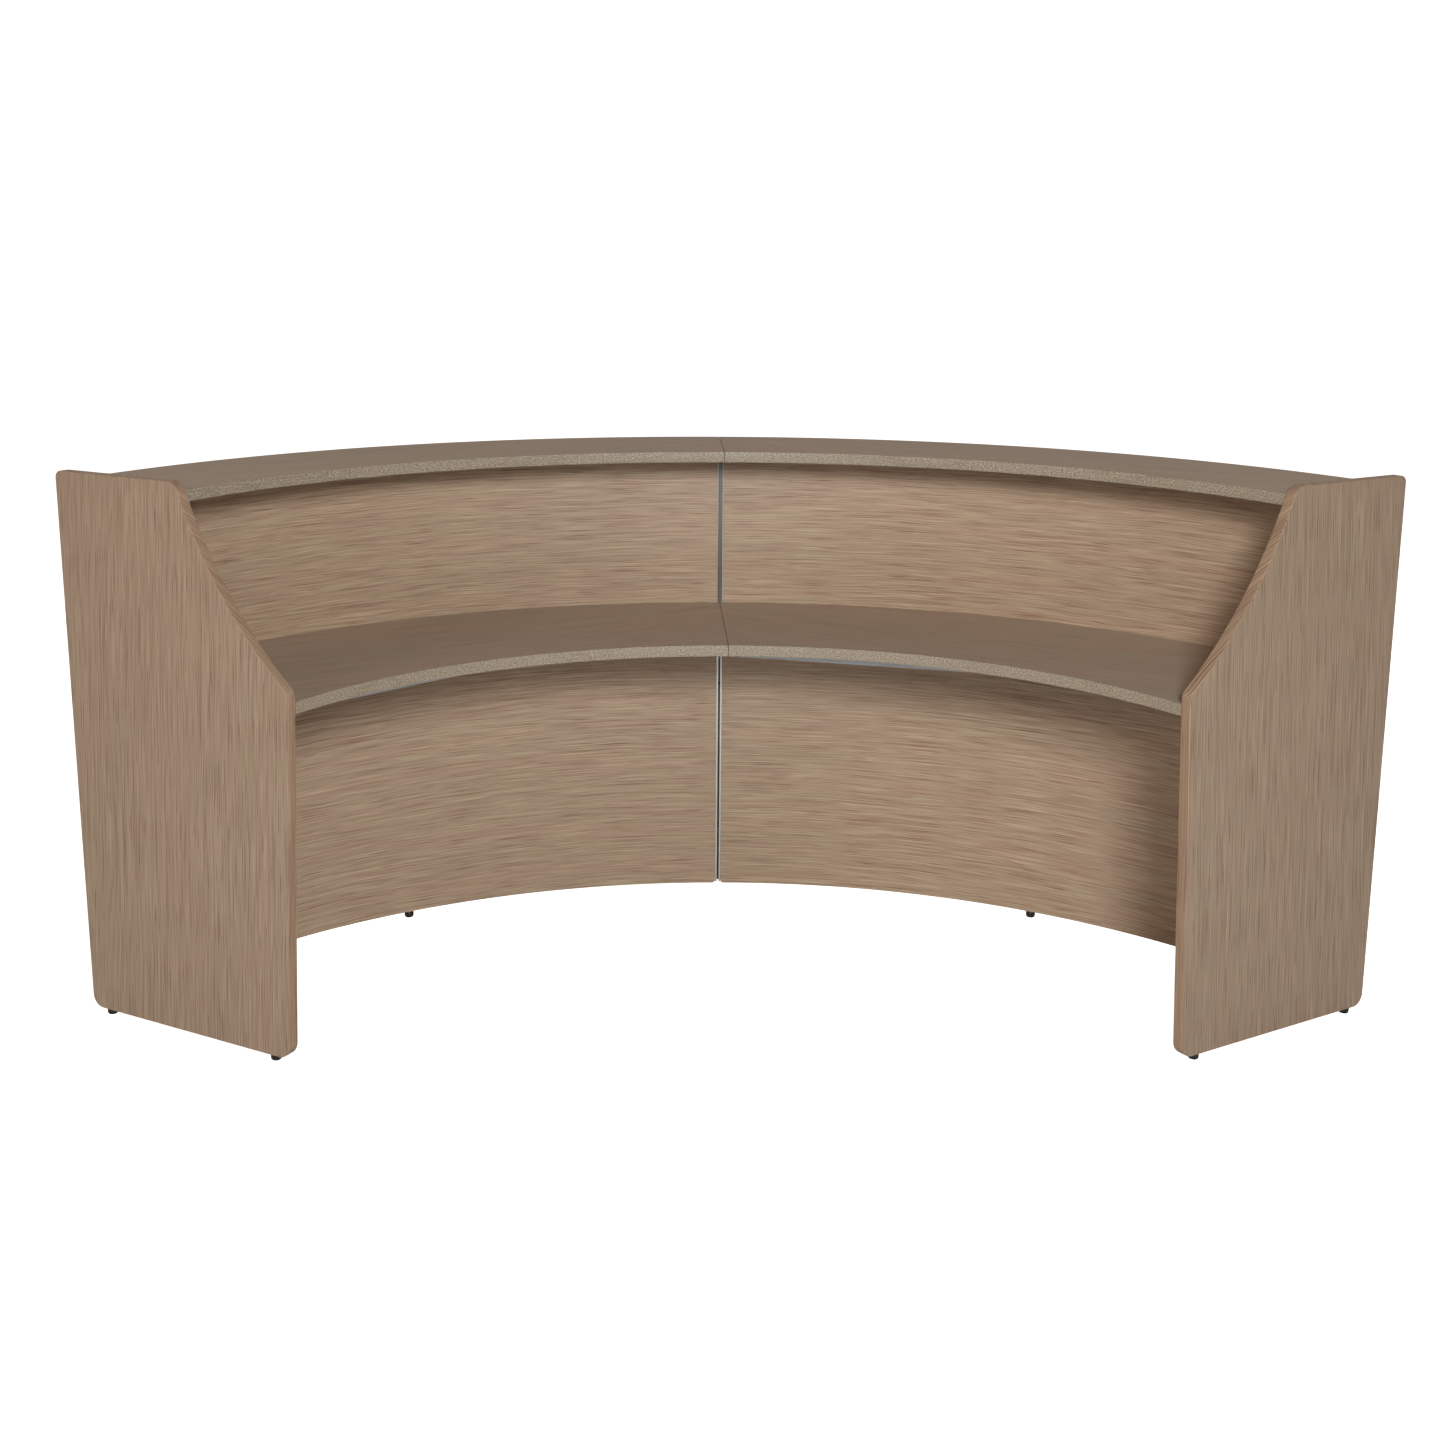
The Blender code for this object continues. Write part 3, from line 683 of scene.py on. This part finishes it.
def stiffener_tube(side, word, material):
    """Square tube with drawn corners. The left one is the right one turned by a unit's angle."""
    bearing = TUBE_BEARING if side > 0 else TUBE_BEARING - UNIT_ANGLE
    start, end = [TUBE_DISTANCE * tan(radians(at - TUBE_BEARING)) for at in (TUBE_START, TUBE_END)]
    turn = Matrix.Translation(AXIS) @ Matrix.Rotation(-radians(bearing), 4, "Z")
    near, far = TUBE_DISTANCE, TUBE_DISTANCE + TUBE
    top = WORK_LOW - FIT
    low = top - TUBE
    outside = rounded(near, far, low, top, (TUBE_ROUND,) * 4)
    inside = rounded(near + TUBE_WALL, far - TUBE_WALL, low + TUBE_WALL, top - TUBE_WALL,
                     (TUBE_ROUND_INSIDE,) * 4)
    order = ((outside, start), (outside, end), (inside, end), (inside, start))
    rings = [[turn @ Vector((x, y, z)) for y, z in section] for section, x in order]
    show(f"stiffener_tube_{word}", loft(rings, looped=True), material,
         [f"stiffener_{word}"])


THREAD_PITCH = 0.00125  # M8 coarse thread
THREAD_DEPTH = 0.0006
THREAD_LEVELS = 6       # rings of points in each pitch
THREAD_SHARP = 60.0


def threaded_rod(centre, low, high, radius, sides=24):
    """A rod whose radius rises and falls along a helix of the thread's pitch."""
    rings = []
    levels = round((high - low) / THREAD_PITCH * THREAD_LEVELS)
    for level in range(levels + 1):
        z = low + (high - low) * level / levels
        ring = []
        for k in range(sides):
            turn = 2 * pi * k / sides
            phase = ((z - low) / THREAD_PITCH - k / sides) % 1.0
            r = radius - THREAD_DEPTH * abs(2 * phase - 1)
            ring.append(Vector((centre.x + r * cos(turn), centre.y + r * sin(turn), z)))
        rings.append(ring)
    return loft(rings)


# Shares of the pad's radius and height
PAD_PROFILE = ((0, 0), (0.70, 0), (0.78, 0.02), (0.86, 0.08), (0.94, 0.19), (0.985, 0.31), (1, 0.42),
               (1, 0.86), (0.985, 0.93), (0.94, 0.98), (0.86, 1), (0, 1))


def levelling_foot(label, nylon, zinc):
    """A moulded glide with a tapered lower edge, and its threaded rod."""
    body = f"foot_{label}"
    low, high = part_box(f"foot_pad_{label}")
    radius, tall = (high.x - low.x) / 2, high.z - low.z
    pad = lathe((low + high) / 2, [(radius * r, low.z + tall * z) for r, z in PAD_PROFILE])
    show(f"glide_{label}", pad, nylon, [f"foot_pad_{label}"], body=body)
    low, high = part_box(f"foot_stem_{label}")
    rod = threaded_rod((low + high) / 2, low.z, high.z, (high.x - low.x) / 2)
    show(f"glide_rod_{label}", rod, zinc, [f"foot_stem_{label}"], body=body,
         sharp=THREAD_SHARP)


# ---------------------------------------------------------------- build

wall_print = woodgrain_laminate("wall_oak_laminate", "#714E3A", "#A58F77", "#C4B094", "#AD8D78",
                                "#9F9077", closeness=1.3)
# The panels' print is a darker copy of the walls' oak: painted shade, so that their open faces come out
# as dark as the walls beside them
shaded_panel_print = woodgrain_laminate("panel_oak_laminate", "#684C3B", "#927F6A", "#AE9983", "#987F6D",
                                 "#8E816A", contrast=1.05, closeness=1.4)
panel_band = woodgrain_laminate("panel_edge_print", "#6E4A38", "#957B63", "#B09A80", "#997A65",
                                "#917E66")
# The tops' print is fainter than the walls', and their faces are duller
tops = ("#745340", "#A99683", "#C2B099", "#AD9583", "#A59682")
worktop_print = woodgrain_laminate("worktop_oak_laminate", *tops, contrast=0.35, roughness=0.58)
top_print = woodgrain_laminate("top_oak_laminate", *tops, contrast=0.35, roughness=0.58,
                               specular=0.3)
beige_band = abs_edge_band("beige_abs_band")
strip_steel = brushed_metal("satin_strip_steel", "#D2D2CE", 0.42)
cover_steel = brushed_metal("grey_cover_steel", "#66645F", 0.40)
zinc = zinc_plate("bright_zinc")
# Near black, for the dowels: painted shade, as dark as the joint's slot they sit in
painted_dark_dowel_steel = brushed_metal("shade_dark_dowel_steel", "#2B2B2D", 0.45)
grey_coat = powder_coat("pale_grey_powder_coat", "#B4BCC2")
nylon = moulded_nylon("black_moulded_nylon")

for side, word in SIDES:
    wall_board(side, word, wall_print)
    top_boards(side, word, worktop_print, top_print, beige_band)
    end_panel(side, word, shaded_panel_print, panel_band)
    stiffener_tube(side, word, grey_coat)
joint_steel(strip_steel, cover_steel)
for _, word in SIDES:
    for spot in ("front", "back", "wall"):
        levelling_foot(f"{word}_{spot}", nylon, zinc)

# Brackets, cleats, the plate, the inserts and the dowels are shown as they were designed
for name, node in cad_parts.items():
    if not node.hide_render:
        node.data.materials.clear()
        # The dowels are drawn near black: painted shade, so that they stay as dark as the slot between
        # the strips instead of glinting
        node.data.materials.append(painted_dark_dowel_steel if name.startswith("joint_dowel") else zinc)


# ---------------------------------------------------------------- studio

def studio_floor():
    """A wide pale floor, lifted to white where it is seen."""
    bm = bmesh.new()
    bmesh.ops.create_circle(bm, cap_ends=True, segments=96, radius=60.0)
    mesh = bpy.data.meshes.new("studio_floor")
    bm.to_mesh(mesh)
    bm.free()
    made, tree, shader = new_material("white_studio_floor")
    where = add(tree, "ShaderNodeTexCoord")
    # Clouds in the paint: 330 mm across
    clouds = add(tree, "ShaderNodeTexNoise",
                 {"Vector": where.outputs["Object"], "Scale": 3.0, "Detail": 2.0})
    tone = add(tree, "ShaderNodeValToRGB", {"Fac": clouds.outputs["Fac"]},
               stops=((0.3, "#F0F0F0"), (0.7, "#F4F4F3")))
    tree.links.new(tone.outputs[0], shader.inputs["Base Color"])
    shader.inputs["Roughness"].default_value = 0.9
    shader.inputs["Emission Color"].default_value = (1.0, 1.0, 1.0, 1.0)
    path = add(tree, "ShaderNodeLightPath")
    tree.links.new(path.outputs["Is Camera Ray"], shader.inputs["Emission Strength"])
    mesh.materials.append(made)
    floor = bpy.data.objects.new("studio_floor", mesh)
    bpy.context.scene.collection.objects.link(floor)


AIR_FRONT, AIR_BACK, AIR_UP = 0.15, 0.67, 0.08    # how bright the room is, by direction
WARM_FRONT, WARM_BACK = "#FFC6A2", "#FFF7EC"
BACKDROP = 1.05


def studio_air():
    """Soft light from all round: brightest behind the counter, and warm from the staff side.
    The backdrop itself is seen as white."""
    world = bpy.data.worlds.new("studio")
    bpy.context.scene.world = world
    world.use_nodes = True
    tree = world.node_tree
    backdrop = tree.nodes["Background"]
    where = add(tree, "ShaderNodeTexCoord")
    direction = add(tree, "ShaderNodeSeparateXYZ", {0: where.outputs["Generated"]})
    behind = add(tree, "ShaderNodeMapRange",
                 {"Value": direction.outputs["Y"], "From Min": -0.7, "From Max": 0.3})
    level = add(tree, "ShaderNodeMix", {"Factor": behind.outputs[0], "A": AIR_FRONT, "B": AIR_BACK})
    height = add(tree, "ShaderNodeMapRange",
                 {"Value": direction.outputs["Z"], "From Min": 0.15, "From Max": 0.9})
    room = add(tree, "ShaderNodeMix",
               {"Factor": height.outputs[0], "A": level.outputs["Result"], "B": AIR_UP})
    path = add(tree, "ShaderNodeLightPath")
    strength = add(tree, "ShaderNodeMix",
                   {"Factor": path.outputs["Is Camera Ray"], "A": room.outputs["Result"],
                    "B": BACKDROP})
    tree.links.new(strength.outputs["Result"], backdrop.inputs["Strength"])
    warmth = add(tree, "ShaderNodeMix",
                 {"Factor": behind.outputs[0], "A": linear(WARM_FRONT), "B": linear(WARM_BACK)},
                 data_type="RGBA")
    tint = add(tree, "ShaderNodeMix",
               {"Factor": path.outputs["Is Camera Ray"], "A": warmth.outputs["Result"],
                "B": linear("#FFFFFF")}, data_type="RGBA")
    tree.links.new(tint.outputs["Result"], backdrop.inputs["Color"])


def lamp(name, at, aim, size, power, colour):
    """A round soft lamp at a point, aimed at another."""
    data = bpy.data.lights.new(name, "AREA")
    data.shape = "DISK"
    data.size = size
    data.energy = power
    data.color = linear(colour)[:3]
    made = bpy.data.objects.new(name, data)
    made.location = at
    made.rotation_euler = (Vector(aim) - Vector(at)).to_track_quat("-Z", "Y").to_euler()
    bpy.context.scene.collection.objects.link(made)
    return made


def camera():
    """Eye level on the staff side, a little left of the middle, looking very slightly down."""
    data = bpy.data.cameras.new("camera")
    data.sensor_width = 36.0
    data.lens = 48.03
    data.shift_x = 0.0355
    data.shift_y = -0.2619
    made = bpy.data.objects.new("camera", data)
    eye = Vector((-0.1994, AXIS_Y - 3.2393, 1.6961))
    yaw, pitch, roll = -0.0159, -0.0692, 0.006
    turn = Matrix.Rotation(yaw, 4, "Z") @ Matrix.Rotation(pi / 2 + pitch, 4, "X")
    turn = turn @ Matrix.Rotation(roll, 4, "Z")
    made.matrix_world = Matrix.Translation(eye) @ turn
    bpy.context.scene.collection.objects.link(made)
    bpy.context.scene.camera = made


studio_floor()
studio_air()
lamp("key", (0.42, -5.0, 2.6), aim=(0.0, 0.2, 0.6), size=1.0, power=231.0, colour="#F7FBFE")
lamp("fill", (-4.5, -3.5, 2.9), aim=(0.0, 0.0, 0.6), size=1.5, power=56.0, colour="#FFF0E6")
back = lamp("back", (1.5, 6.0, 2.8), aim=(0.0, 0.5, 0.6), size=2.0, power=100.0, colour="#FFFFFF")
back.visible_glossy = False
camera()
bpy.context.scene.view_settings.view_transform = "Standard"
